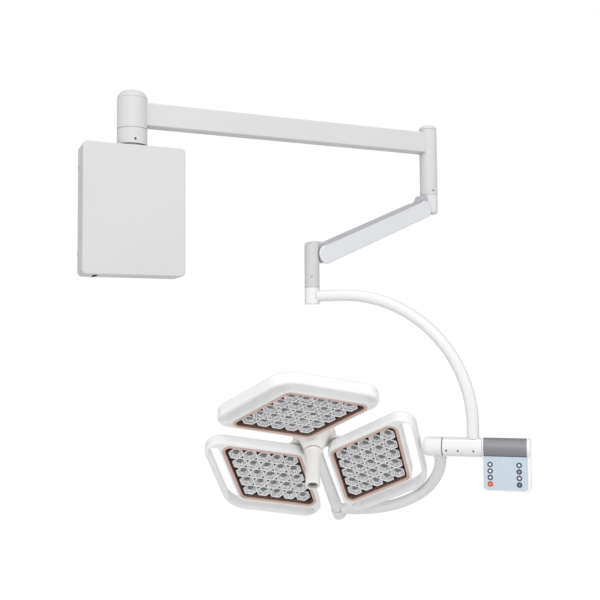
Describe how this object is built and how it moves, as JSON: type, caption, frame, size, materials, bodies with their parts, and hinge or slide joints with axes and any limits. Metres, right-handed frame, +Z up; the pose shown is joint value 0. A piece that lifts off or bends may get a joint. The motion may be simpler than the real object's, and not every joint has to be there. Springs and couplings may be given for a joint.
{
  "type": "wall-mounted surgical light",
  "caption": "Wall-mounted operating light: wall box, swivel arm, sprung arm, C-shaped arm with control panel, and a yoke holding a petal-shaped LED head with a grip.",
  "frame": {"origin": "centre of the wall plate's back face", "axes": "+X along the wall to the right, +Y into the wall, +Z up"},
  "size_m": [1.0355, 0.5884, 1.1383],
  "materials": {
    "gray_paint": "satin",
    "white_paint": "gloss",
    "blue_white_paint": "satin",
    "warm_gray_paint": "satin",
    "bush_paint": "satin",
    "bare_steel": "satin",
    "bare_aluminium": "satin",
    "brushed_grip": "satin",
    "white_plastic": "gloss",
    "cream_plastic": "satin",
    "gray_plastic": "matte",
    "dark_plastic": "matte",
    "button_dark": "satin",
    "button_red": "satin",
    "pale_blue_plastic": "satin",
    "green_board": "satin",
    "led_board_brown": "satin",
    "copper_trim": "satin",
    "clear_lens": "polished",
    "black_rubber": "matte"
  },
  "bodies": {
    "wall_unit": {"wall_plate": "bare_steel", "wall_cover": "gray_paint", "post_bracket": "bare_aluminium", "power_supply": "bare_aluminium", "terminal_block": "dark_plastic", "cable_grommet": "black_rubber", "post_sleeve": "gray_paint", "post_spindle": "bare_steel", "thrust_washer": "bare_aluminium", "post_brake_screw": "bare_steel"},
    "main_arm": {"main_arm_hub": "gray_paint", "post_cap": "gray_paint", "main_arm_beam": "gray_paint", "column_tube": "gray_paint", "column_cap": "gray_paint"},
    "knuckle": {"upper_knuckle": "blue_white_paint", "knuckle_spindle": "bare_steel"},
    "spring_arm": {"spring_arm_shell": "blue_white_paint", "spring_arm_cover": "blue_white_paint", "balance_spring": "bare_steel", "spring_rod": "bare_steel", "upper_pivot_pin": "bare_steel", "lower_pivot_pin": "bare_steel"},
    "level_link": {"levelling_bar": "bare_steel"},
    "elbow": {"elbow_housing": "warm_gray_paint", "elbow_spindle": "bare_steel"},
    "c_arm": {"swivel_sleeve": "white_paint", "c_arm_tube": "white_paint", "horizontal_sleeve": "white_paint", "control_housing": "white_plastic", "control_grip": "brushed_grip", "control_panel": "pale_blue_plastic", "control_board": "green_board"},
    "yoke": {"yoke_cap": "white_paint", "yoke_tube": "white_paint", "yoke_end_sleeve": "white_paint"},
    "lamp_head": {"head_hub": "white_paint", "head_stem": "white_paint", "handle_core": "gray_plastic", "panel_shell_a": "white_plastic", "panel_bezel_a": "copper_trim", "led_board_a": "led_board_brown", "lens_array_a": "clear_lens", "panel_shell_b": "white_plastic", "panel_bezel_b": "copper_trim", "led_board_b": "led_board_brown", "lens_array_b": "clear_lens", "panel_shell_c": "white_plastic", "panel_bezel_c": "copper_trim", "led_board_c": "led_board_brown", "lens_array_c": "clear_lens"},
    "handle": {"sterile_handle": "cream_plastic"},
    "key_lamp_up": {"button_lamp_up": "button_dark"},
    "key_lamp_down": {"button_lamp_down": "button_dark"},
    "key_mode": {"button_mode": "button_dark"},
    "key_focus_wide": {"button_focus_wide": "button_dark"},
    "key_focus_narrow": {"button_focus_narrow": "button_dark"},
    "key_warm_white": {"button_warm_white": "button_dark"},
    "key_cool_white": {"button_cool_white": "button_dark"},
    "key_power": {"button_power": "button_red"}
  },
  "joints": [
    {"name": "main_arm_swivel", "type": "hinge", "parent": "wall_unit", "child": "main_arm", "pos_m": [0, -0.0405, 0.212], "axis": [0, 0, 1], "range_deg": [-170, 0]},
    {"name": "spring_arm_swivel", "type": "hinge", "parent": "main_arm", "child": "knuckle", "pos_m": [0.88, -0.0405, 0.0965], "axis": [0, 0, 1], "range_deg": [-5, 300]},
    {"name": "spring_arm_pitch", "type": "hinge", "parent": "knuckle", "child": "spring_arm", "pos_m": [0.83994, -0.05313, 0.05], "axis": [0.3007, -0.9537, 0], "range_deg": [-25, 28]},
    {"name": "levelling_link_pivot", "type": "hinge", "parent": "knuckle", "child": "level_link", "pos_m": [0.83994, -0.05313, 0.0355], "axis": [0.3007, -0.9537, 0], "range_deg": [-25, 28]},
    {"name": "elbow_level", "type": "hinge", "parent": "spring_arm", "child": "elbow", "pos_m": [0.46881, -0.17015, -0.10722], "axis": [0.3007, -0.9537, 0], "range_deg": [-28, 25]},
    {"name": "c_arm_swivel", "type": "hinge", "parent": "elbow", "child": "c_arm", "pos_m": [0.43925, -0.17947, -0.194], "axis": [0, 0, 1], "range_deg": [-100, 140]},
    {"name": "yoke_tilt", "type": "hinge", "parent": "c_arm", "child": "yoke", "pos_m": [0.43925, -0.17947, -0.593], "axis": [0.7547, -0.6561, 0], "range_deg": [-130, 130]},
    {"name": "head_turn", "type": "hinge", "parent": "yoke", "child": "lamp_head", "pos_m": [0.43925, -0.17947, -0.593], "axis": [0.4845, 0.5573, -0.6743], "range_deg": [-150, 150]},
    {"name": "handle_pull", "type": "slide", "parent": "lamp_head", "child": "handle", "axis": [-0.2989, -0.619, -0.7263], "range_m": [0, 0.1]},
    {"name": "press_lamp_up", "type": "slide", "parent": "c_arm", "child": "key_lamp_up", "axis": [0.6561, 0.7547, 0], "range_m": [0, 0.0012], "stiffness_N_per_m": 600},
    {"name": "press_lamp_down", "type": "slide", "parent": "c_arm", "child": "key_lamp_down", "axis": [0.6561, 0.7547, 0], "range_m": [0, 0.0012], "stiffness_N_per_m": 600},
    {"name": "press_mode", "type": "slide", "parent": "c_arm", "child": "key_mode", "axis": [0.6561, 0.7547, 0], "range_m": [0, 0.0012], "stiffness_N_per_m": 600},
    {"name": "press_focus_wide", "type": "slide", "parent": "c_arm", "child": "key_focus_wide", "axis": [0.6561, 0.7547, 0], "range_m": [0, 0.0012], "stiffness_N_per_m": 600},
    {"name": "press_focus_narrow", "type": "slide", "parent": "c_arm", "child": "key_focus_narrow", "axis": [0.6561, 0.7547, 0], "range_m": [0, 0.0012], "stiffness_N_per_m": 600},
    {"name": "press_warm_white", "type": "slide", "parent": "c_arm", "child": "key_warm_white", "axis": [0.6561, 0.7547, 0], "range_m": [0, 0.0012], "stiffness_N_per_m": 600},
    {"name": "press_cool_white", "type": "slide", "parent": "c_arm", "child": "key_cool_white", "axis": [0.6561, 0.7547, 0], "range_m": [0, 0.0012], "stiffness_N_per_m": 600},
    {"name": "press_power", "type": "slide", "parent": "c_arm", "child": "key_power", "axis": [0.6561, 0.7547, 0], "range_m": [0, 0.0012], "stiffness_N_per_m": 600}
  ],
  "couplings": [
    {"joint": "levelling_link_pivot", "follows": "spring_arm_pitch", "ratio": 1},
    {"joint": "elbow_level", "follows": "spring_arm_pitch", "ratio": -1}
  ]
}
